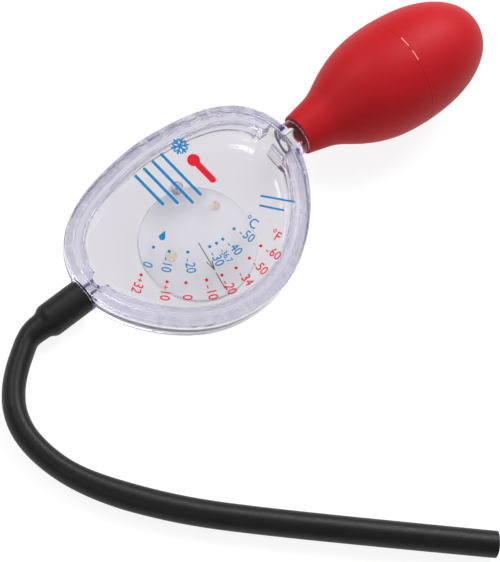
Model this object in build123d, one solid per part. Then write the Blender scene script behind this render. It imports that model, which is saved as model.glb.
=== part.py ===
"""Antifreeze tester: a clear two-part moulded case with a swinging float disc,
a red rubber suction bulb and a black rubber hose.  Millimetres, Z up.

The case is drawn in its own frame first: S runs along the two spigots from the
hose to the bulb, T runs across, and W is the height over the back plate.  The
finished parts are then laid down on the table, on the hose cuff, the bulb and
the rim of the case.
"""
from build123d import *
from math import atan2, cos, degrees, radians, sin, sqrt
import os

# Case outline, from the spigot axis
case_half_width = 57.5
case_drop = 50.0
case_rise = 37.8

# Case section, as thicknesses, and as widths in from the outline
back_plate = 2.2
window_plate = 2.2
case_height = 16.2
cover_height = 5.0
window_step = 1.2
flange_width = 3.5
rim_width = 7.7
parting_step = 0.3
edge_round = 1.0
flange_round = 0.5
chamber_round = 2.0

# Joint between the two shells
groove_wall = 1.1
groove_width = 2.0
groove_depth = 1.5
joint_clearance = 0.05

# Baffle ribs and the pocket between them and the bulb
rib_to_rim = 2.8
rib_thickness = 1.2
rib_gap_low = 2.2
rib_gap_high = 11.5
pocket_wall = 3.4
pocket_low = -5.0
pocket_high = 9.5
pocket_round = 1.5

# Hose spigot
hose_nipple_diameter = 10.2
hose_nipple_length = 18.0
hose_nipple_bore = 5.5
hose_seat_margin = 0.5
hose_seat_step = 0.4
hose_mouth_width = 7.5
hose_mouth_reach = 5.5
nipple_lead = 0.8

# Bulb spigot
collar_step = 0.5
collar_reach = 4.0
collar_depth = 3.2
bulb_nipple_diameter = 15.0
bulb_nipple_length = 14.0
bulb_nipple_bore = 6.0

# Float disc with its two ballast plugs; it hangs from the pivot, at an angle off the T axis
pivot_place = (2.4, 11.9)
pivot_edge = 0.2
hang_angle = 18.4
disc_to_rim = 3.6
disc_thickness = 3.0
disc_round = 0.5
ear_radius = 3.2
ear_blend = 2.0
large_plug_diameter = 5.0
small_plug_diameter = 4.1
plug_stand = 0.1

# Pivot
pin_diameter = 1.5
pin_recess = 0.4
boss_diameter = 4.8
side_play = 0.3
running_clearance = 0.06
fit_clearance = 0.02

# Rubber bulb
bulb_length = 100.9
bulb_diameter = 50.8
bulb_neck_wall = 1.75
bulb_wall = 2.5
bulb_lean = 4.3
rubber_clearance = 0.05

# Rubber hose, 7/16 in over 1/4 in
hose_diameter = 11.1
hose_bore = 6.35
cuff_wall = 2.1
cuff_overhang = 3.6
cuff_taper = 5.0
cuff_gap = 0.4
cuff_round = 0.5

# Run out of a cutter past the solid that it cuts
overrun = 1.0

axis_height = case_height / 2
ceiling = case_height - window_plate
parting_height = case_height - cover_height
flange_height = case_height - window_step
groove_inset = rim_width - groove_wall - groove_width
rib_place = case_half_width - rim_width - rib_to_rim
cuff_diameter = hose_nipple_diameter + 2 * (rubber_clearance + cuff_wall)
cuff_length = hose_nipple_length + cuff_gap + cuff_overhang
hose_seat_diameter = cuff_diameter + 2 * hose_seat_margin
collar_diameter = bulb_nipple_diameter + 2 * collar_step
bulb_neck_diameter = bulb_nipple_diameter + 2 * (rubber_clearance + bulb_neck_wall)
pin_length = ceiling - back_plate - 2 * pin_recess

# The disc reaches from just past the pivot almost to the rim below it
disc_diameter = pivot_place[1] + case_drop - rim_width - disc_to_rim + pivot_edge
disc_bottom = axis_height - disc_thickness / 2
disc_top = axis_height + disc_thickness / 2

# Plugs, from the middle of the disc, as shares of its radius
large_plug_shares = (-0.498, 0.103)
small_plug_shares = (0.664, 0.333)

# Half outline from the low point to the high point: shares of the half width, and
# of the drop below or the rise above the spigot axis
outline_shares = [
    (0, -1),
    (0.328, -0.932),
    (0.615, -0.733),
    (0.819, -0.480),
    (0.958, -0.194),
    (0.999, 0.133),
    (0.915, 0.507),
    (0.739, 0.758),
    (0.499, 0.904),
    (0.233, 0.975),
    (0, 1),
]

# Bulb outline: shares of the length past the neck, and of the step from the neck
# radius to the full radius
bulb_shares = [
    (0.030, 0.042),
    (0.060, 0.087),
    (0.130, 0.196),
    (0.210, 0.452),
    (0.310, 0.750),
    (0.430, 0.950),
    (0.565, 1),
    (0.710, 0.927),
    (0.830, 0.717),
    (0.920, 0.396),
    (0.975, 0.011),
    (0.992, -0.227),
]

# Hose route on the table, from the end of the cuff to the free end
hose_points = [
    (-8.1, -1.3),
    (-12.3, -4.1),
    (-18.7, -8.5),
    (-25.4, -14.6),
    (-30.5, -21.8),
    (-33.3, -30.3),
    (-33.6, -38.8),
    (-32.2, -48.3),
    (-29.0, -58.3),
    (-23.1, -69.5),
    (-14.2, -82.6),
    (-1.6, -98.3),
    (15.1, -115.8),
    (49.1, -149.2),
    (87.5, -186.2),
]
hose_lead = 4.0
bend_share = 0.45


def outline_curve(inset=0):
    """Closed curve of the case outline, moved inwards by the inset."""
    half = []
    for across_share, up_share in outline_shares:
        reach = case_drop if up_share < 0 else case_rise
        half.append(Vector(across_share * case_half_width, up_share * reach))
    other_half = [Vector(-point.X, point.Y) for point in reversed(half[1:-1])]
    points = half + other_half
    outer = Spline(*points, periodic=True)
    if inset == 0:
        return outer
    moved = []
    for point in points:
        along = outer.tangent_at(point)
        moved.append(point + inset * Vector(-along.Y, along.X))
    return Spline(*moved, periodic=True)


def outline(inset=0):
    """Case outline as a face, moved inwards by the inset."""
    return make_face(outline_curve(inset).edge())


def slab(inset, low, high):
    """Prism on the case outline between two heights."""
    return Pos(0, 0, low) * extrude(outline(inset), amount=high - low)


def across_axis(place, diameter, length):
    """Cylinder on the spigot axis, from a place along it."""
    return Pos(place, 0, axis_height) * Rot(0, 90, 0) * Cylinder(
        diameter / 2, length, align=(Align.CENTER, Align.CENTER, Align.MIN))


def upright(place, diameter, low, high):
    """Cylinder square to the back plate, between two heights."""
    return Pos(place[0], place[1], low) * Cylinder(
        diameter / 2, high - low, align=(Align.CENTER, Align.CENTER, Align.MIN))


def block(s_range, t_range, w_range):
    """Block between two places along each axis of the case."""
    corners = list(zip(s_range, t_range, w_range))
    size = [high - low for low, high in zip(*corners)]
    return Pos(*corners[0]) * Box(*size, align=(Align.MIN, Align.MIN, Align.MIN))


def chamber():
    """Hollow between the shells, rounded at the floor and at the ceiling."""
    hollow = slab(rim_width, back_plate, ceiling)
    ends = hollow.edges().group_by(Axis.Z)
    return fillet(ends[0] + ends[-1], chamber_round)


def passages():
    """Hose mouth, and the pocket in front of the bulb spigot."""
    mouth_end = -case_half_width + hose_mouth_reach
    mouth_length = 2 * (rim_width - hose_mouth_reach) + hose_mouth_width
    mouth = extrude(SlotOverall(mouth_length, hose_mouth_width), amount=ceiling - back_plate)
    mouth = Pos(mouth_end + mouth_length / 2, 0, back_plate) * mouth
    pocket = slab(pocket_wall, back_plate, ceiling) & block(
        (rib_place, case_half_width), (pocket_low, pocket_high), (back_plate, ceiling))
    corners = pocket.edges().filter_by(Axis.Z).group_by(Axis.X)[-1]
    return mouth, fillet(corners, pocket_round)


def joint_ring(slack, low, high):
    """Ring that runs round the rim and stops beside the two spigots."""
    ring = slab(groove_inset + slack, low, high)
    ring -= slab(groove_inset + groove_width - slack, low - overrun, high + overrun)
    hose_stop = hose_seat_diameter / 2 + slack
    bulb_stop = collar_diameter / 2 + rib_thickness + slack
    ring -= block((-case_half_width, 0), (-hose_stop, hose_stop), (low - overrun, high + overrun))
    ring -= block((0, case_half_width), (-bulb_stop, bulb_stop), (low - overrun, high + overrun))
    return ring


def collar(slack=0):
    """Collar that carries the bulb, from inside the rim outwards."""
    start = case_half_width - collar_depth - slack
    end = case_half_width + collar_reach
    return across_axis(start, collar_diameter + 2 * slack, end - start + slack)


def hose_seat(slack=0):
    """Round pad on the rim that the end of the hose butts against."""
    start = -case_half_width - hose_seat_step
    return across_axis(start, hose_seat_diameter + 2 * slack, 2 * hose_seat_step + slack)


def ribs(low, high):
    """Halves of the two baffle ribs between the chamber and the pocket."""
    along = (rib_place, rib_place + rib_thickness)
    wall = slab(rim_width - joint_clearance, low, high)
    low_rib = wall & block(along, (-case_drop, rib_gap_low), (low, high))
    high_rib = wall & block(along, (rib_gap_high, case_rise), (low, high))
    return low_rib + high_rib


def back_shell():
    """Tray with the rim, the ribs, the groove, the pivot boss and both spigots."""
    shell = slab(0, 0, parting_height)
    shell = fillet(shell.edges().group_by(Axis.Z)[0], edge_round)
    shell += collar()
    shell += hose_seat()
    shell += across_axis(-case_half_width - hose_nipple_length, hose_nipple_diameter, hose_nipple_length)
    shell += across_axis(case_half_width + collar_reach, bulb_nipple_diameter, bulb_nipple_length)
    shell = chamfer(end_edges(shell, Axis.X, hose_nipple_diameter, 0), nipple_lead)
    shell = chamfer(end_edges(shell, Axis.X, bulb_nipple_diameter, -1), nipple_lead)
    shell -= chamber()
    mouth, pocket = passages()
    shell -= mouth
    shell -= pocket
    shell -= joint_ring(0, parting_height - groove_depth, parting_height + overrun)
    bore_start = -case_half_width - hose_nipple_length
    shell -= across_axis(bore_start, hose_nipple_bore, hose_nipple_length + rim_width)
    bore_end = case_half_width + collar_reach + bulb_nipple_length
    shell -= across_axis(rib_place + rib_thickness, bulb_nipple_bore, bore_end - rib_place - rib_thickness)
    shell += ribs(back_plate - joint_clearance, parting_height)
    shell += upright(pivot_place, boss_diameter, back_plate - overrun, disc_bottom - side_play)
    shell -= upright(pivot_place, pin_diameter + 2 * fit_clearance, pin_low(), disc_top)
    return shell.solid()


def end_edges(shape, axis, diameter, which):
    """Round edges of one diameter at one end of a shape."""
    rings = [edge for edge in shape.edges().filter_by(GeomType.CIRCLE)
             if abs(edge.radius - diameter / 2) < joint_clearance]
    return ShapeList(rings).group_by(axis)[which]


def pin_low():
    """Height of the lower end of the pivot pin."""
    return axis_height - pin_length / 2


def front_cover():
    """Window, flange, tongue and the upper pivot boss."""
    cover = slab(parting_step, parting_height, flange_height)
    cover = fillet(cover.edges().group_by(Axis.Z)[-1], flange_round)
    window = slab(flange_width, parting_height, case_height)
    cover += fillet(window.edges().group_by(Axis.Z)[-1], flange_round)
    tongue_low = parting_height - groove_depth + 2 * joint_clearance
    cover += joint_ring(joint_clearance, tongue_low, parting_height + overrun)
    cover -= chamber()
    mouth, pocket = passages()
    cover -= mouth
    cover -= pocket
    cover -= collar(joint_clearance)
    cover -= hose_seat(joint_clearance)
    cover += upright(pivot_place, boss_diameter, disc_top + side_play, ceiling + overrun)
    cover -= upright(pivot_place, pin_diameter + 2 * fit_clearance, disc_top, pin_low() + pin_length)
    cover += ribs(parting_height, ceiling + joint_clearance)
    return cover.solid()


def on_disc(shares=(0, 0)):
    """Place on the disc, from its middle, by shares of its radius."""
    arm = disc_diameter / 2 - pivot_edge
    lean = radians(hang_angle)
    middle = Vector(*pivot_place) - arm * Vector(sin(lean), cos(lean))
    spot = middle + disc_diameter / 2 * Vector(*shares)
    return spot.X, spot.Y


def float_disc():
    """Disc that swings on its ear, with a hole for each ballast plug."""
    face = Pos(*on_disc()) * Circle(disc_diameter / 2) + Pos(*pivot_place) * Circle(ear_radius)
    inner_corners = face.vertices().sort_by_distance(Vector(*pivot_place))[:2]
    face = fillet(inner_corners, ear_blend)
    disc = extrude(face, amount=disc_thickness)
    disc = fillet(disc.edges().group_by(Axis.Z)[0] + disc.edges().group_by(Axis.Z)[-1], disc_round)
    disc = Pos(0, 0, disc_bottom) * disc
    holes = [
        (pivot_place, pin_diameter + 2 * running_clearance),
        (on_disc(large_plug_shares), large_plug_diameter + 2 * fit_clearance),
        (on_disc(small_plug_shares), small_plug_diameter + 2 * fit_clearance),
    ]
    for place, diameter in holes:
        disc -= upright(place, diameter, disc_bottom - overrun, disc_top + overrun)
    return disc.solid()


def plug(place, diameter):
    """Ballast plug pressed through the float disc."""
    return upright(place, diameter, disc_bottom - plug_stand, disc_top + plug_stand).solid()


def pivot_pin():
    """Steel pin between the two bosses."""
    pin = upright(pivot_place, pin_diameter, pin_low() + fit_clearance, pin_low() + pin_length - fit_clearance)
    return pin.solid()


def bulb_outline(wall=0):
    """Radii along the bulb, from the neck to the closed end, less a wall."""
    neck = bulb_neck_diameter / 2
    swell = (bulb_diameter - bulb_neck_diameter) / 2
    return [(share * (bulb_length - wall), neck + swell_share * swell - wall)
            for share, swell_share in bulb_shares]


def neck_place():
    """Place along the case of the middle of the bulb's neck, whose edge leans on the collar."""
    return case_half_width + collar_reach + collar_diameter / 2 * sin(radians(bulb_lean))


def bulb_body(wall=0):
    """Solid of revolution of the bulb, less a wall all round."""
    stations = [Vector(*station) for station in bulb_outline(wall)]
    neck = Vector(0, bulb_neck_diameter / 2 - wall)
    tip = Vector(bulb_length - wall, 0)
    swell = Spline(neck, *stations, tip, tangents=[stations[0] - neck, (0, -1)])
    lines = [Line((0, 0), neck), swell, Line(tip, (0, 0))]
    body = revolve(make_face([line.edge() for line in lines]), axis=Axis.X)
    return Pos(neck_place(), 0, axis_height) * Rot(0, 0, -bulb_lean) * body


def suction_bulb():
    """Hollow rubber bulb, solid round its nipple."""
    start = case_half_width
    seat = collar_reach + bulb_nipple_length + cuff_gap
    cavity = bulb_body(bulb_wall) - across_axis(start, bulb_diameter, seat)
    bore_diameter = bulb_nipple_diameter + 2 * rubber_clearance
    bore = across_axis(start, bore_diameter, seat + overrun)
    return (bulb_body() - cavity - bore).solid()


def hose_cuff():
    """End of the hose, stretched over its nipple."""
    seat = -case_half_width - hose_seat_step
    end = hose_end()
    shoulder = end + cuff_taper
    nipple_end = -case_half_width - hose_nipple_length - cuff_gap
    outer, inner = cuff_diameter / 2, hose_nipple_diameter / 2 + rubber_clearance
    taper = Spline((shoulder, outer), (end, hose_diameter / 2), tangents=[(-1, 0), (-1, 0)])
    rest = Polyline((end, hose_diameter / 2), (end, hose_bore / 2), (nipple_end, inner),
                    (seat, inner), (seat, outer), (shoulder, outer))
    profile = [taper.edge(), *rest.edges()]
    cuff = revolve(make_face(profile), axis=Axis.X)
    lip = end_edges(cuff, Axis.X, cuff_diameter, -1)
    return (Pos(0, 0, axis_height) * fillet(lip, cuff_round)).solid()


def height_direction(tilt, roll):
    """Upward direction of the table, seen in the case frame."""
    return Vector(sin(tilt), sin(roll) * cos(tilt), cos(roll) * cos(tilt))


def samples(curve, count=200):
    """Evenly spaced points along a curve."""
    return [curve.position_at(number / count) for number in range(count + 1)]


def lowest_points(tilt, roll, edge, swell):
    """Heights of the lowest points of the cuff, the rim and the bulb."""
    up = height_direction(tilt, roll)
    shoulder = hose_end() + cuff_taper
    cuff = up.X * shoulder - cuff_diameter / 2 * cos(tilt)
    rim = min(up.X * point.X + up.Y * point.Y for point in edge)
    rim += up.Z * (edge_round - axis_height) - edge_round
    lean = radians(-bulb_lean)
    slope = Vector(cos(lean), sin(lean), 0).dot(up)
    neck = up.X * neck_place()
    bulb = min(neck + slope * point.X - sqrt(1 - slope * slope) * point.Y for point in swell)
    return cuff, rim, bulb


def halve(low, high, too_low, rounds=24):
    """Value between two limits where a test changes."""
    for _ in range(rounds):
        middle = (low + high) / 2
        if too_low(middle):
            low = middle
        else:
            high = middle
    return (low + high) / 2


def rest_angles():
    """Tilt and roll at which the cuff, the rim and the bulb all touch the table."""
    edge = samples(outline_curve(edge_round))
    swell = samples(Spline(*bulb_outline()))
    limit = atan2(bulb_diameter / 2, bulb_length)

    def bulb_is_low(tilt, roll):
        cuff, _, bulb = lowest_points(tilt, roll, edge, swell)
        return bulb < cuff

    def tilt_for(roll):
        return halve(0, limit, lambda tilt: bulb_is_low(tilt, roll))

    def rim_is_high(roll):
        cuff, rim, _ = lowest_points(tilt_for(roll), roll, edge, swell)
        return rim > cuff

    roll = halve(0, limit, rim_is_high)
    return tilt_for(roll), roll


def rest_place(solids):
    """Place of the case frame on the table, with the origin under the middle of the solids."""
    tilt, roll = rest_angles()
    turn = Rot(0, -degrees(tilt), 0) * Rot(degrees(roll), 0, 0) * Pos(0, 0, -axis_height)
    box = Compound([turn * solid for solid in solids]).bounding_box()
    print("tilt and roll", round(degrees(tilt), 2), round(degrees(roll), 2))
    return Pos(-box.center().X, -box.center().Y, -box.min.Z) * turn


def hose_end():
    """Place along the case where the cuff ends and the free hose starts."""
    return -case_half_width - hose_seat_step - cuff_length


def hose_path(place):
    """Route of the hose: straight runs joined by arcs as large as the runs allow."""
    start = (place * Pos(hose_end(), 0, axis_height)).position
    lead = (place * Pos(hose_end() - hose_lead, 0, axis_height)).position
    points = [start, lead]
    points += [Vector(start.X + x, start.Y + y, hose_diameter / 2) for x, y in hose_points]
    radii = []
    for before, corner, after in zip(points, points[1:], points[2:]):
        half_turn = radians((corner - before).get_angle(after - corner)) / 2
        shorter = min((corner - before).length, (after - corner).length)
        radii.append(bend_share * shorter * cos(half_turn) / sin(half_turn))
    print("hose radii", [round(radius, 1) for radius in radii])
    return FilletPolyline(*points, radius=radii)


def hose(place):
    """Free length of the hose, with its bore."""
    path = hose_path(place)
    section = Plane(path @ 0, z_dir=path % 0) * (Circle(hose_diameter / 2) - Circle(hose_bore / 2))
    tube = sweep(section, path=path)
    print("hose length", path.length, "volume share", tube.volume / (section.area * path.length))
    return tube.solid()


def main():
    """Model every piece and write one file for each."""
    os.makedirs("parts", exist_ok=True)
    pieces = {
        "back_shell": back_shell(),
        "front_cover": front_cover(),
        "float_disc": float_disc(),
        "ballast_plug_large": plug(on_disc(large_plug_shares), large_plug_diameter),
        "ballast_plug_small": plug(on_disc(small_plug_shares), small_plug_diameter),
        "pivot_pin": pivot_pin(),
        "suction_bulb": suction_bulb(),
        "hose_cuff": hose_cuff(),
    }
    place = rest_place(pieces.values())
    laid = {name: place * solid for name, solid in pieces.items()}
    laid["hose"] = hose(place)
    for name, solid in laid.items():
        export_step(solid, f"parts/{name}.step")
    for name, spot in (("pivot", (*pivot_place, axis_height)), ("back face", (0, 0, 0)),
                       ("chamber", (0, 0, ceiling)), ("hose exit", (hose_end(), 0, axis_height))):
        print(name, (place * Pos(*spot)).position)
    print("case normal", (place * Pos(0, 0, 1)).position - (place * Pos(0, 0, 0)).position)


main()
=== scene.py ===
"""Antifreeze tester: clear case with a float dial, red squeeze bulb and black suction hose."""
import math

import bmesh
import bpy
from mathutils import Matrix, Vector


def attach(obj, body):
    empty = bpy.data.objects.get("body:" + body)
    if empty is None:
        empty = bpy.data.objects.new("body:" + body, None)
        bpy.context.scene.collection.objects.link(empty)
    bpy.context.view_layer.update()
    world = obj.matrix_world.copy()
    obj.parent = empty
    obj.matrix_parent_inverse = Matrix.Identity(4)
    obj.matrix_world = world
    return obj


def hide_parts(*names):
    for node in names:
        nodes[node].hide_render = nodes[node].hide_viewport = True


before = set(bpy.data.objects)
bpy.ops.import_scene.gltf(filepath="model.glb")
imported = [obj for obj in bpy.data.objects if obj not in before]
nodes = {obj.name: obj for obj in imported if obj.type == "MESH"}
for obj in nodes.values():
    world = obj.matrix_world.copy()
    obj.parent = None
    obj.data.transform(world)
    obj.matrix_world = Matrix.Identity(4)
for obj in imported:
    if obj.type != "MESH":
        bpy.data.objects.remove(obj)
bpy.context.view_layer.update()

MM = 0.001

# Camera, in millimetres and degrees
CAMERA_PLACE = (-324.46, -183.92, 635.58)
CAMERA_AIM = (-33.61, -29.07, 0.04)
CAMERA_ROLL = 22.738
CAMERA_LENS = 106.86

# Case frame: S along the spigots, T across, W over the back plate, in millimetres and degrees
CASE_PLACE = (-40.2852, 6.59768, 6.54276)
CASE_TILT = 5.624
CASE_ROLL = 4.811
CASE_HEIGHT = 16.2
AXIS_HEIGHT = 8.1
DISC_TOP = 9.6

# Hose, in millimetres: the route's points, relative to the exit
HOSE_EXIT = (-120.592, 5.91837, 6.74528)
HOSE_HEIGHT = 5.55
HOSE_LEAD = (-3.981, 0.0, -0.392)
HOSE_POINTS = [
    (-8.1, -1.3), (-12.3, -4.1), (-18.7, -8.5), (-25.4, -14.6), (-30.5, -21.8),
    (-33.3, -30.3), (-33.6, -38.8), (-32.2, -48.3), (-29.0, -58.3), (-23.1, -69.5),
    (-14.2, -82.6), (-1.6, -98.3), (15.1, -115.8), (49.1, -149.2), (87.5, -186.2),
]
HOSE_DIAMETER = 11.1
HOSE_BORE = 6.35
BEND_WIDTH = 9.5
BEND_START = 9.0
BEND_HOLD = 66.0
BEND_END = 102.0
HOSE_SIDES = 56
HOSE_SHARP_ANGLE = 40

# Dial print, in millimetres and degrees; dots stand round the float's pivot
DIAL_CENTRE = (2.5, 11.9)
PRINT_THICKNESS = 0.03
# Shapes that overlap stand on different layers, all of them still sunk into the plastic
LAYER_STEP = 0.001
LAYER_COUNT = 16
DOT_RADIUS = 0.7
# Marks: number, angle of its dot, angle of its text, and how far its text is moved outwards
CELSIUS_RING = 30.0
CELSIUS_MARKS = [
    ("0", -149.9, -149.5, 1.2), ("-10", -137.0, -138.9), ("-20", -122.1, -123.3),
    ("-30", -103.6, -104.4), ("-40", -91.1, -90.0), ("-50", -78.0, -77.4),
]
FAHRENHEIT_RING = 43.3
FAHRENHEIT_MARKS = [
    ("+32", -150.6, -150.1, -1.0), ("+10", -135.9, -136.3, -1.0), ("0", -125.5, -125.5, -0.5),
    ("-10", -113.9, -114.4, -0.4), ("-20", -104.8, -105.0), ("-34", -95.7, -95.7),
    ("-50", -86.1, -86.4), ("-60", -76.2, -76.3),
]
SMALL_MARK = ("-36.7", -97.3, -96.5)
SMALL_RADIUS = 36.6
SIGN_GAP = 3.4
DIGIT_GAP = 6.9
DIGIT_RISE = 0.9
SIGN_LENGTH = 0.9
PLUS_LENGTH = 1.5
PLUS_WIDTH = 0.4
STROKE_WIDTH = 0.5
NUMBER_SIZE = 5.9
SMALL_SIZE = 3.9
UNIT_SIZE = 6.4
NUMBER_WIDTH_SHARE = 0.80
STROKE_GROWTH = 0.045
UNIT_MARKS = [("°C", (16.4, -19.8), "blue"), ("°F", (20.8, -30.5), "red")]
UNIT_ANGLE = -70.0

# Bulb seam, in millimetres and degrees, from the bulb's neck along the bulb
NECK_PLACE = 62.1
BULB_LEAN = 4.3
SEAM_ALONG = 55.8
SEAM_WIDTH = 0.7
SEAM_HEIGHT = 0.11
SEAM_SIDES = 192
SEAM_REACH = 40


def metres(*values):
    """Millimetres as a vector in metres."""
    return Vector(values) * MM


CASE = (
    Matrix.Translation(metres(*CASE_PLACE))
    @ Matrix.Rotation(-math.radians(CASE_TILT), 4, "Y")
    @ Matrix.Rotation(math.radians(CASE_ROLL), 4, "X")
    @ Matrix.Scale(MM, 4)
)


def add_object(name, mesh, body, material):
    """Shows a mesh as a piece that rides on a body."""
    obj = bpy.data.objects.new(name, mesh)
    bpy.context.scene.collection.objects.link(obj)
    mesh.materials.clear()
    mesh.materials.append(material)
    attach(obj, body)
    return obj


def mesh_from(name, bm, smooth=False):
    """Mesh data from a bmesh, with its normals outwards."""
    bmesh.ops.recalc_face_normals(bm, faces=bm.faces)
    mesh = bpy.data.meshes.new(name)
    bm.to_mesh(mesh)
    bm.free()
    for face in mesh.polygons:
        face.use_smooth = smooth
    return mesh


# Values between which most of a noise lies
NOISE_LOW = 0.3
NOISE_HIGH = 0.7


class Shader:
    """Small helper that builds one node material."""

    def __init__(self, name):
        self.material = bpy.data.materials.new(name)
        self.material.use_nodes = True
        self.tree = self.material.node_tree
        self.tree.nodes.clear()
        self.out = self.tree.nodes.new("ShaderNodeOutputMaterial")

    def node(self, kind, **inputs):
        made = self.tree.nodes.new("ShaderNode" + kind)
        for name, value in inputs.items():
            made.inputs[name.replace("_", " ")].default_value = value
        return made

    def link(self, source, target):
        self.tree.links.new(source, target)

    def surface(self, socket):
        self.link(socket, self.out.inputs["Surface"])

    def lit_through(self, body, shadow):
        """Surface that lamps shine through, with a tinted shadow."""
        lamp = self.node("BsdfTransparent", Color=shadow)
        rays = self.node("LightPath")
        mix = self.node("MixShader")
        self.link(rays.outputs["Is Shadow Ray"], mix.inputs["Fac"])
        self.link(body.outputs["BSDF"], mix.inputs[1])
        self.link(lamp.outputs["BSDF"], mix.inputs[2])
        self.surface(mix.outputs["Shader"])

    def noise(self, scale, detail=2.0, roughness=0.5):
        """Noise that keeps to the piece."""
        place = self.node("TexCoord")
        made = self.node("TexNoise", Scale=scale, Detail=detail, Roughness=roughness)
        self.link(place.outputs["Object"], made.inputs["Vector"])
        return made

    def ramp(self, source, low, high, first, last):
        """Colour that goes from the first to the last between two values of the source."""
        made = self.node("ValToRGB")
        stops = made.color_ramp.elements
        stops[0].position = low
        stops[1].position = high
        stops[0].color = first
        stops[1].color = last
        self.link(source, made.inputs["Fac"])
        return made.outputs["Color"]

    def remap(self, source, low, high):
        """Number that goes from low to high over the noise's usual values."""
        made = self.node("MapRange")
        made.inputs["From Min"].default_value = NOISE_LOW
        made.inputs["From Max"].default_value = NOISE_HIGH
        made.inputs["To Min"].default_value = low
        made.inputs["To Max"].default_value = high
        self.link(source, made.inputs["Value"])
        return made.outputs["Result"]

    def bump(self, source, strength, distance):
        made = self.node("Bump", Strength=strength, Distance=distance)
        self.link(source, made.inputs["Height"])
        return made.outputs["Normal"]


PLASTIC_IOR = 1.49
CLEAR_SKIN = (0.872, 0.866, 0.862, 1)
CLEAR_TINT = (0.79, 0.76, 0.96, 1)
CLEAR_DENSITY = 42.0


def clear_plastic(name, shadow):
    """Clear moulded plastic: glass with a faint tint in its depth, through which lamps shine."""
    s = Shader(name)
    glass = s.node("BsdfPrincipled", Roughness=0.02, IOR=PLASTIC_IOR)
    glass.inputs["Base Color"].default_value = CLEAR_SKIN
    glass.inputs["Transmission Weight"].default_value = 1.0
    ripple = s.noise(60.0, detail=1.0)
    s.link(s.bump(ripple.outputs["Fac"], 0.015, 0.0004), glass.inputs["Normal"])
    s.lit_through(glass, shadow)
    depth = s.node("VolumeAbsorption", Color=CLEAR_TINT, Density=CLEAR_DENSITY)
    s.link(depth.outputs["Volume"], s.out.inputs["Volume"])
    return s.material


def milky_plastic():
    """Float: translucent plastic, faintly cloudy."""
    s = Shader("float_plastic")
    cloud = s.noise(60.0, detail=3.0)
    body = s.node("BsdfPrincipled", Roughness=0.38, IOR=PLASTIC_IOR)
    body.inputs["Transmission Weight"].default_value = 0.45
    dark, light = (0.63, 0.63, 0.635, 1), (0.69, 0.69, 0.695, 1)
    s.link(s.ramp(cloud.outputs["Fac"], NOISE_LOW, NOISE_HIGH, dark, light), body.inputs["Base Color"])
    s.lit_through(body, (0.75, 0.75, 0.76, 1))
    return s.material


def rubber(name, dark, light, roughness, grain_scale, grain, gloss):
    """Satin rubber with a fine grain and slightly uneven colour."""
    s = Shader(name)
    patches = s.noise(35.0, detail=4.0)
    fine = s.noise(grain_scale, detail=3.0, roughness=0.6)
    body = s.node("BsdfPrincipled")
    body.inputs["Specular IOR Level"].default_value = gloss
    s.link(s.ramp(patches.outputs["Fac"], NOISE_LOW, NOISE_HIGH, dark, light), body.inputs["Base Color"])
    s.link(s.remap(fine.outputs["Fac"], *roughness), body.inputs["Roughness"])
    s.link(s.bump(fine.outputs["Fac"], grain, 0.0002), body.inputs["Normal"])
    s.surface(body.outputs["BSDF"])
    return s.material


def ballast_plastic():
    """Beige filled plastic with darker specks."""
    s = Shader("ballast")
    specks = s.noise(900.0, detail=3.0, roughness=0.7)
    body = s.node("BsdfPrincipled", Roughness=0.55)
    dark, light = (0.36, 0.29, 0.20, 1), (0.60, 0.53, 0.43, 1)
    s.link(s.ramp(specks.outputs["Fac"], 0.35, 0.6, dark, light), body.inputs["Base Color"])
    s.link(s.bump(specks.outputs["Fac"], 0.3, 0.0001), body.inputs["Normal"])
    s.surface(body.outputs["BSDF"])
    return s.material


def steel():
    """Ground steel wire."""
    s = Shader("pin_steel")
    lines = s.noise(400.0, detail=2.0)
    body = s.node("BsdfPrincipled", Metallic=1.0)
    body.inputs["Base Color"].default_value = (0.62, 0.62, 0.64, 1)
    s.link(s.remap(lines.outputs["Fac"], 0.22, 0.38), body.inputs["Roughness"])
    s.surface(body.outputs["BSDF"])
    return s.material


def ink(name, thin, full):
    """Stamped ink, a little uneven in its cover."""
    s = Shader(name)
    cover = s.noise(700.0, detail=4.0, roughness=0.6)
    body = s.node("BsdfPrincipled", Roughness=0.5)
    body.inputs["Specular IOR Level"].default_value = 0.1
    s.link(s.ramp(cover.outputs["Fac"], 0.3, 0.55, thin, full), body.inputs["Base Color"])
    s.surface(body.outputs["BSDF"])
    return s.material


clear_case = clear_plastic("clear_case", (0.88, 0.88, 0.90, 1))
clear_cover = clear_plastic("clear_cover", (0.89, 0.89, 0.91, 1))
bulb_surface = {"roughness": (0.44, 0.54), "grain_scale": 900.0, "grain": 0.10, "gloss": 0.12}
hose_surface = {"roughness": (0.40, 0.54), "grain_scale": 1100.0, "grain": 0.25, "gloss": 0.27}
red_rubber = rubber("red_rubber", (0.41, 0.008, 0.012, 1), (0.47, 0.011, 0.016, 1), **bulb_surface)
# Pale red for two short bits of the seam: painted highlights, not wear
painted_glint_rubber = rubber("painted_glint_rubber", (0.74, 0.30, 0.24, 1), (0.80, 0.36, 0.30, 1), **bulb_surface)
black_rubber = rubber("black_rubber", (0.003, 0.003, 0.004, 1), (0.006, 0.006, 0.007, 1), **hose_surface)
inks = {
    "blue": ink("ink_blue", (0.01, 0.21, 0.46, 1), (0.002, 0.18, 0.42, 1)),
    "red": ink("ink_red", (0.66, 0.014, 0.034, 1), (0.60, 0.006, 0.020, 1)),
    "grey": ink("ink_grey", (0.10, 0.10, 0.10, 1), (0.045, 0.045, 0.045, 1)),
}

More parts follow.
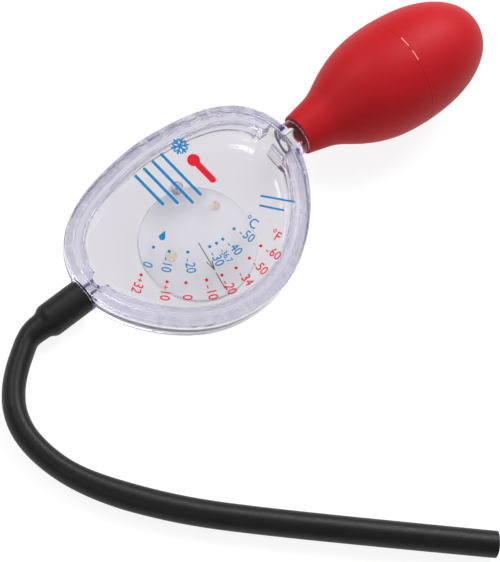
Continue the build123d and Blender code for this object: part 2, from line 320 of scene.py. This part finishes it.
NODE_MATERIALS = {
    "back_shell": clear_case,
    "front_cover": clear_cover,
    "float_disc": milky_plastic(),
    "ballast_plug_large": ballast_plastic(),
    "pivot_pin": steel(),
    "suction_bulb": red_rubber,
    "hose_cuff": black_rubber,
}
NODE_MATERIALS["ballast_plug_small"] = NODE_MATERIALS["ballast_plug_large"]
for node_name, material in NODE_MATERIALS.items():
    node = nodes[node_name]
    if not node.material_slots:
        node.data.materials.append(material)
    for slot in node.material_slots:
        slot.material = material


def hose_route():
    """Points read from the hose's own spline, in metres."""
    points = [metres(*HOSE_EXIT), metres(*HOSE_EXIT) + metres(*HOSE_LEAD)]
    start = Vector((HOSE_EXIT[0], HOSE_EXIT[1], HOSE_HEIGHT))
    points += [(start + Vector((x, y, 0))) * MM for x, y in HOSE_POINTS]
    curve = bpy.data.curves.new("hose_line", "CURVE")
    curve.dimensions = "3D"
    spline = curve.splines.new("NURBS")
    spline.points.add(len(points) - 1)
    for target, point in zip(spline.points, points):
        target.co = (*point, 1)
    spline.order_u = 3
    spline.use_endpoint_u = True
    spline.resolution_u = 24
    holder = bpy.data.objects.new("hose_line", curve)
    bpy.context.scene.collection.objects.link(holder)
    bpy.context.view_layer.update()
    line = bpy.data.meshes.new_from_object(holder)
    route = [v.co.copy() for v in line.vertices]
    bpy.data.objects.remove(holder)
    bpy.data.curves.remove(curve)
    bpy.data.meshes.remove(line)
    return route


def squeeze_at(along):
    """Half the hose's width at a distance from the exit, in metres: less where it bends."""
    rise = min(max(along / (BEND_START * MM), 0), 1)
    fall = min(max((BEND_END * MM - along) / ((BEND_END - BEND_HOLD) * MM), 0), 1)
    share = rise * rise * (3 - 2 * rise) * fall * fall * (3 - 2 * fall)
    return (HOSE_DIAMETER + share * (BEND_WIDTH - HOSE_DIAMETER)) / 2 * MM


def hose_tube(route):
    """Open rubber tube along the route, a little flattened from the sides in its bend."""
    bm = bmesh.new()
    outer_rings, inner_rings = [], []
    half_height = HOSE_DIAMETER / 2 * MM
    wall = (HOSE_DIAMETER - HOSE_BORE) / 2 * MM
    along = 0.0
    for i, point in enumerate(route):
        ahead = route[min(i + 1, len(route) - 1)]
        behind = route[max(i - 1, 0)]
        forward = (ahead - behind).normalized()
        side = forward.cross(Vector((0, 0, 1))).normalized()
        up = side.cross(forward).normalized()
        if i:
            along += (point - behind).length
        half_width = squeeze_at(along)
        for rings, less in ((outer_rings, 0), (inner_rings, wall)):
            ring = []
            for k in range(HOSE_SIDES):
                a = 2 * math.pi * k / HOSE_SIDES
                offset = side * math.cos(a) * (half_width - less) + up * math.sin(a) * (half_height - less)
                ring.append(bm.verts.new(point + offset))
            rings.append(ring)
    for rings in (outer_rings, inner_rings):
        for first, second in zip(rings, rings[1:]):
            for k in range(HOSE_SIDES):
                n = (k + 1) % HOSE_SIDES
                bm.faces.new((first[k], first[n], second[n], second[k]))
    for end in (0, -1):
        for k in range(HOSE_SIDES):
            n = (k + 1) % HOSE_SIDES
            bm.faces.new((outer_rings[end][k], outer_rings[end][n], inner_rings[end][n], inner_rings[end][k]))
    mesh = mesh_from("suction_hose", bm, smooth=True)
    mesh.set_sharp_from_angle(angle=math.radians(HOSE_SHARP_ANGLE))
    return mesh


route = hose_route()
hose = add_object("suction_hose", hose_tube(route), "case", black_rubber)
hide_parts("hose")


SEAM_TURN = Matrix.Rotation(-math.radians(BULB_LEAN), 4, "Z")
SEAM_FRAME = CASE @ Matrix.Translation((NECK_PLACE, 0, AXIS_HEIGHT)) @ SEAM_TURN
# Cross-sections, across the seam and up from the bulb's skin, as shares of its width and height
SEAM_PROFILE = [(-0.5, -1.5), (-0.5, 0.0), (-0.25, 0.8), (0, 1.0), (0.25, 0.8), (0.5, 0.0), (0.5, -1.5)]
# Glints: first and last angle round the seam, from the case's T axis upwards
GLINTS = [(75.8, 87.0), (92.8, 103.8)]
GLINT_PROFILE = [(-0.3, -1.5), (-0.3, 1.3), (0.3, 1.3), (0.3, -1.5)]


def seam_section(bm, angle, profile):
    """Cross-section of the seam at an angle round the bulb, laid on its skin."""
    out = Vector((0, math.cos(angle), math.sin(angle)))
    section = []
    for across, lift in profile:
        start = Vector((SEAM_ALONG + across * SEAM_WIDTH, 0, 0)) + out * SEAM_REACH
        ray_from = SEAM_FRAME @ start
        ray_to = SEAM_FRAME @ (start - out * SEAM_REACH)
        _, place, _, _ = nodes["suction_bulb"].ray_cast(ray_from, (ray_to - ray_from).normalized())
        outward = (ray_from - ray_to).normalized()
        section.append(bm.verts.new(place + outward * lift * SEAM_HEIGHT * MM))
    return section


def join_sections(bm, first, second):
    """Faces between two cross-sections."""
    for j in range(len(first)):
        n = (j + 1) % len(first)
        bm.faces.new((first[j], first[n], second[n], second[j]))


def bulb_seam():
    """Thin moulding seam that runs round the bulb and follows its skin."""
    bm = bmesh.new()
    sections = [seam_section(bm, 2 * math.pi * k / SEAM_SIDES, SEAM_PROFILE) for k in range(SEAM_SIDES)]
    for k, section in enumerate(sections):
        join_sections(bm, section, sections[(k + 1) % SEAM_SIDES])
    return mesh_from("bulb_seam", bm, smooth=True)


def seam_glints(steps=8):
    """Two short pale pieces of the seam, a painted highlight where light catches it."""
    bm = bmesh.new()
    for first, last in GLINTS:
        angles = [math.radians(first + (last - first) * k / steps) for k in range(steps + 1)]
        sections = [seam_section(bm, angle, GLINT_PROFILE) for angle in angles]
        for one, other in zip(sections, sections[1:]):
            join_sections(bm, one, other)
        bm.faces.new(sections[0])
        bm.faces.new(list(reversed(sections[-1])))
    return mesh_from("seam_glints", bm)


add_object("bulb_seam", bulb_seam(), "case", red_rubber)
add_object("seam_glints", seam_glints(), "case", painted_glint_rubber)


def polar(radius, angle):
    """Place on the dial at a distance and an angle from its centre, in millimetres."""
    a = math.radians(angle)
    return DIAL_CENTRE[0] + radius * math.cos(a), DIAL_CENTRE[1] + radius * math.sin(a)


def word_mesh(text, size):
    """Thin solid letters, in millimetres, on their own baseline's middle."""
    letters = bpy.data.curves.new("letters", "FONT")
    letters.body = text
    letters.size = size
    letters.align_x = "CENTER"
    letters.align_y = "CENTER"
    letters.extrude = PRINT_THICKNESS
    letters.bevel_depth = STROKE_GROWTH
    letters.bevel_resolution = 0
    letters.resolution_u = 6
    holder = bpy.data.objects.new("letters", letters)
    bpy.context.scene.collection.objects.link(holder)
    bpy.context.view_layer.update()
    mesh = bpy.data.meshes.new_from_object(holder)
    mesh.transform(Matrix.Diagonal((NUMBER_WIDTH_SHARE, 1, 1, 1)))
    bpy.data.objects.remove(holder)
    bpy.data.curves.remove(letters)
    return mesh


# Drop: reach of its point as a share of its radius, and the angle from the point to the round part
DROP_REACH = 2.4
DROP_SHOULDER = 65


class Print:
    """Collects flat printed shapes of one colour, on one height of the case."""

    def __init__(self, height):
        self.bm = bmesh.new()
        self.height = height
        self.layer = 0

    def word(self, text, place, angle, size=NUMBER_SIZE):
        """Number or sign that reads at an angle."""
        mesh = word_mesh(text, size)
        spot = Matrix.Translation((*place, self.height)) @ Matrix.Rotation(math.radians(angle), 4, "Z")
        mesh.transform(CASE @ spot)
        self.bm.from_mesh(mesh)
        bpy.data.meshes.remove(mesh)

    def outline(self, points):
        """Thin solid with a closed outline, in millimetres in the case frame."""
        self.layer = (self.layer + 1) % LAYER_COUNT
        middle = self.height + self.layer * LAYER_STEP
        rings = []
        for level in (middle - PRINT_THICKNESS, middle + PRINT_THICKNESS):
            rings.append([self.bm.verts.new(CASE @ Vector((s, t, level))) for s, t in points])
        self.bm.faces.new(list(reversed(rings[0])))
        self.bm.faces.new(rings[1])
        for k in range(len(points)):
            n = (k + 1) % len(points)
            self.bm.faces.new((rings[0][k], rings[0][n], rings[1][n], rings[1][k]))

    def dot(self, place, radius, sides=28):
        turn = [2 * math.pi * k / sides for k in range(sides)]
        self.outline([(place[0] + radius * math.cos(a), place[1] + radius * math.sin(a)) for a in turn])

    def drop(self, place, radius, angle, sides=24):
        """Drop with its point towards an angle, and round for the rest of the turn."""
        tip = math.radians(angle)
        reach = DROP_REACH * radius
        points = [(place[0] + reach * math.cos(tip), place[1] + reach * math.sin(tip))]
        for k in range(sides + 1):
            a = tip + math.radians(DROP_SHOULDER + (360 - 2 * DROP_SHOULDER) * k / sides)
            points.append((place[0] + radius * math.cos(a), place[1] + radius * math.sin(a)))
        self.outline(points)

    def stroke(self, start, end, width, steps=8):
        """Straight line with round ends."""
        along = Vector(end) - Vector(start)
        heading = math.atan2(along.y, along.x)
        points = []
        for middle, turn in ((Vector(end), -math.pi / 2), (Vector(start), math.pi / 2)):
            for k in range(steps + 1):
                a = heading + turn + math.pi * k / steps
                points.append((middle.x + width / 2 * math.cos(a), middle.y + width / 2 * math.sin(a)))
        self.outline(points)

    def finish(self, name, body, material):
        add_object(name, mesh_from(name, self.bm), body, material)


def raised(place, angle, rise):
    """Place moved square to a reading direction, in millimetres."""
    a = math.radians(angle)
    return place[0] - rise * math.sin(a), place[1] + rise * math.cos(a)


def add_mark(sheet, ring, number, dot_angle, text_angle, outwards=0.0):
    """Dot, sign and digits that read outwards from the dial's centre."""
    sheet.dot(polar(ring, dot_angle), DOT_RADIUS)
    sign = ring + SIGN_GAP + outwards
    if number[0] == "-":
        half = SIGN_LENGTH / 2
        sheet.stroke(polar(sign - half, text_angle), polar(sign + half, text_angle), STROKE_WIDTH)
    if number[0] == "+":
        half = PLUS_LENGTH / 2
        middle = polar(sign, text_angle)
        sheet.stroke(polar(sign - half, text_angle), polar(sign + half, text_angle), PLUS_WIDTH)
        sheet.stroke(raised(middle, text_angle, half), raised(middle, text_angle, -half), PLUS_WIDTH)
    rise = DIGIT_RISE if number[0] == "-" else 0
    digits = raised(polar(ring + DIGIT_GAP + outwards, text_angle), text_angle, rise)
    sheet.word(number.lstrip("+-"), digits, text_angle)


prints = {"blue": Print(CASE_HEIGHT), "red": Print(CASE_HEIGHT)}
for mark in CELSIUS_MARKS:
    add_mark(prints["blue"], CELSIUS_RING, *mark)
for mark in FAHRENHEIT_MARKS:
    add_mark(prints["red"], FAHRENHEIT_RING, *mark)
prints["blue"].dot(polar(CELSIUS_RING, SMALL_MARK[1]), DOT_RADIUS)
prints["blue"].word(SMALL_MARK[0], polar(SMALL_RADIUS, SMALL_MARK[2]), SMALL_MARK[2], size=SMALL_SIZE)
for text, place, colour in UNIT_MARKS:
    prints[colour].word(text, place, UNIT_ANGLE, size=UNIT_SIZE)

# Plain emblem of a snowflake and a thermometer, bars and a drop, in millimetres and degrees
EMBLEM_ANGLE = -86.0
EMBLEM_START = (14.1, 29.0)
BAR_ROWS = [(-8.6, 25.4), (-13.6, 25.9), (-18.6, 21.8), (-23.6, 18.2)]
BAR_START = 1.6
BAR_WIDTH = 1.3
LABEL_BARS = [((27.6, -13.2), (37.2, -23.8)), ((24.4, -16.2), (31.0, -23.9))]
LABEL_WIDTH = 0.9
DROP_PLACE = (-17.8, -1.9)
DROP_RADIUS = 1.35
DROP_ANGLE = 25.0
FLAKE_PLACE = 4.0
FLAKE_RADIUS = 3.5
FLAKE_WIDTH = 0.85
# Twigs of the snowflake: start, end and width as shares of the arm's, and their turn in radians
TWIG_START = 0.5
TWIG_END = 0.95
TWIG_WIDTH = 0.75
TWIG_TURN = 0.42
GAUGE_BULB = 12.4
GAUGE_END = 25.6
GAUGE_RADIUS = 2.8
GAUGE_WIDTH = 2.9


def emblem_point(along, up):
    """Place in the emblem, along its reading direction and up from its middle line."""
    a = math.radians(EMBLEM_ANGLE)
    s = EMBLEM_START[0] + along * math.cos(a) - up * math.sin(a)
    t = EMBLEM_START[1] + along * math.sin(a) + up * math.cos(a)
    return s, t


def flake_point(radius, angle):
    """Place in the emblem, by its distance and direction from the snowflake's middle."""
    return emblem_point(FLAKE_PLACE + radius * math.cos(angle), radius * math.sin(angle))


# Each of the first three arms is one stroke with the arm across from it
for arm in range(6):
    a = math.radians(60 * arm)
    if arm < 3:
        prints["blue"].stroke(flake_point(-FLAKE_RADIUS, a), flake_point(FLAKE_RADIUS, a), FLAKE_WIDTH)
    for turn in (TWIG_TURN, -TWIG_TURN):
        start = flake_point(FLAKE_RADIUS * TWIG_START, a)
        end = flake_point(FLAKE_RADIUS * TWIG_END, a + turn)
        prints["blue"].stroke(start, end, FLAKE_WIDTH * TWIG_WIDTH)
prints["red"].dot(emblem_point(GAUGE_BULB, 0), GAUGE_RADIUS)
prints["red"].stroke(emblem_point(GAUGE_BULB, 0), emblem_point(GAUGE_END - GAUGE_WIDTH / 2, 0), GAUGE_WIDTH)
for up, length in BAR_ROWS:
    prints["blue"].stroke(emblem_point(BAR_START, up), emblem_point(length, up), BAR_WIDTH)
for start, end in LABEL_BARS:
    prints["blue"].stroke(start, end, LABEL_WIDTH)
prints["blue"].drop(DROP_PLACE, DROP_RADIUS, DROP_ANGLE)

prints["blue"].finish("dial_print_blue", "case", inks["blue"])
prints["red"].finish("dial_print_red", "case", inks["red"])

# Pointer on the float: its line, the two sides of its head, and the line past the head
POINTER_STROKES = [
    ((-5.4, -12.2), (-7.6, -25.4)),
    ((-8.1, -20.8), (-7.6, -25.4)),
    ((-5.9, -21.55), (-7.6, -25.4)),
    ((-8.0, -26.9), (-9.3, -33.9)),
]
POINTER_WIDTH = 0.4
pointer = Print(DISC_TOP)
for start, end in POINTER_STROKES:
    pointer.stroke(start, end, POINTER_WIDTH)
pointer.finish("float_pointer", "float", inks["grey"])


# Floor: half its side in metres, its own glow to the camera, and the glow's share
FLOOR_HALF = 6.0
FLOOR_GLOW = 1.10
FLOOR_GLOW_SHARE = 0.78
# Sky: its strength at the horizon and higher up, and the sine of the angle where it is reached
SKY_LOW = 0.28
SKY_HIGH = 0.37
SKY_RISE = 0.45
# Lamps: name, place and side in metres, power in watts
LAMPS = [
    ("key", (0.80, 0.20, 1.00), 0.6, 14.0),
    ("top", (-0.25, 0.75, 0.95), 0.6, 5.5),
    ("fill", (-0.9, -0.3, 0.9), 0.8, 2.0),
]
LAMP_AIM = (-0.02, -0.02, 0.0)


def stage_floor():
    """Pale floor that keeps the object's shadow and reads white round it."""
    bm = bmesh.new()
    corners = ((-1, -1), (1, -1), (1, 1), (-1, 1))
    bm.faces.new([bm.verts.new((x * FLOOR_HALF, y * FLOOR_HALF, 0)) for x, y in corners])
    mesh = mesh_from("floor", bm)
    s = Shader("floor_paper")
    paper = s.node("BsdfDiffuse", Color=(0.86, 0.86, 0.86, 1))
    glow = s.node("Emission", Color=(1, 1, 1, 1), Strength=FLOOR_GLOW)
    rays = s.node("LightPath")
    either = s.node("Math")
    either.operation = "MAXIMUM"
    seen = s.node("Math")
    seen.operation = "MAXIMUM"
    part = s.node("Math")
    part.operation = "MULTIPLY"
    part.inputs[1].default_value = FLOOR_GLOW_SHARE
    s.link(rays.outputs["Is Camera Ray"], either.inputs[0])
    s.link(rays.outputs["Is Glossy Ray"], either.inputs[1])
    s.link(either.outputs[0], seen.inputs[0])
    s.link(rays.outputs["Is Transmission Ray"], seen.inputs[1])
    s.link(seen.outputs[0], part.inputs[0])
    mix = s.node("MixShader")
    s.link(part.outputs[0], mix.inputs["Fac"])
    s.link(paper.outputs["BSDF"], mix.inputs[1])
    s.link(glow.outputs["Emission"], mix.inputs[2])
    s.surface(mix.outputs["Shader"])
    obj = bpy.data.objects.new("floor", mesh)
    bpy.context.scene.collection.objects.link(obj)
    mesh.materials.append(s.material)


def studio_world():
    """Soft light from above, a little dimmer towards the horizon, and white to the camera."""
    world = bpy.data.worlds.new("studio")
    world.use_nodes = True
    tree = world.node_tree
    tree.nodes.clear()
    out = tree.nodes.new("ShaderNodeOutputWorld")
    soft = tree.nodes.new("ShaderNodeBackground")
    soft.inputs["Color"].default_value = (0.97, 0.98, 1.0, 1)
    place = tree.nodes.new("ShaderNodeTexCoord")
    parts = tree.nodes.new("ShaderNodeSeparateXYZ")
    rise = tree.nodes.new("ShaderNodeMapRange")
    rise.inputs["From Max"].default_value = SKY_RISE
    rise.inputs["To Min"].default_value = SKY_LOW
    rise.inputs["To Max"].default_value = SKY_HIGH
    tree.links.new(place.outputs["Generated"], parts.inputs["Vector"])
    tree.links.new(parts.outputs["Z"], rise.inputs["Value"])
    tree.links.new(rise.outputs["Result"], soft.inputs["Strength"])
    white = tree.nodes.new("ShaderNodeBackground")
    white.inputs["Color"].default_value = (1, 1, 1, 1)
    white.inputs["Strength"].default_value = 1.0
    rays = tree.nodes.new("ShaderNodeLightPath")
    mix = tree.nodes.new("ShaderNodeMixShader")
    tree.links.new(rays.outputs["Is Camera Ray"], mix.inputs["Fac"])
    tree.links.new(soft.outputs["Background"], mix.inputs[1])
    tree.links.new(white.outputs["Background"], mix.inputs[2])
    tree.links.new(mix.outputs["Shader"], out.inputs["Surface"])
    bpy.context.scene.world = world


def soft_box(name, place, size, power):
    """Square area lamp that looks at the tester."""
    lamp = bpy.data.lights.new(name, "AREA")
    lamp.shape = "SQUARE"
    lamp.size = size
    lamp.energy = power
    obj = bpy.data.objects.new(name, lamp)
    bpy.context.scene.collection.objects.link(obj)
    obj.location = place
    obj.rotation_mode = "QUATERNION"
    obj.rotation_quaternion = (Vector(place) - Vector(LAMP_AIM)).to_track_quat("Z", "Y")


def photo_camera():
    """Camera at the photograph's place and angle."""
    data = bpy.data.cameras.new("camera")
    data.sensor_width = 36.0
    data.lens = CAMERA_LENS
    obj = bpy.data.objects.new("camera", data)
    bpy.context.scene.collection.objects.link(obj)
    back = (Vector(CAMERA_PLACE) - Vector(CAMERA_AIM)).normalized()
    right = Vector((0, 0, 1)).cross(back).normalized()
    up = back.cross(right)
    roll = math.radians(CAMERA_ROLL)
    across = right * math.cos(roll) + up * math.sin(roll)
    above = back.cross(across)
    turn = Matrix((across, above, back)).transposed().to_4x4()
    obj.matrix_world = Matrix.Translation(metres(*CAMERA_PLACE)) @ turn
    data.clip_start = 0.01
    data.clip_end = 50.0
    bpy.context.scene.camera = obj


stage_floor()
studio_world()
for lamp in LAMPS:
    soft_box(*lamp)
photo_camera()
bpy.context.scene.view_settings.view_transform = "Standard"
# Long light paths, so that the clear plastic's edges, which reflect light many times inside, don't end black
paths = bpy.context.scene.cycles
paths.max_bounces = 32
paths.glossy_bounces = 24
paths.transmission_bounces = 24
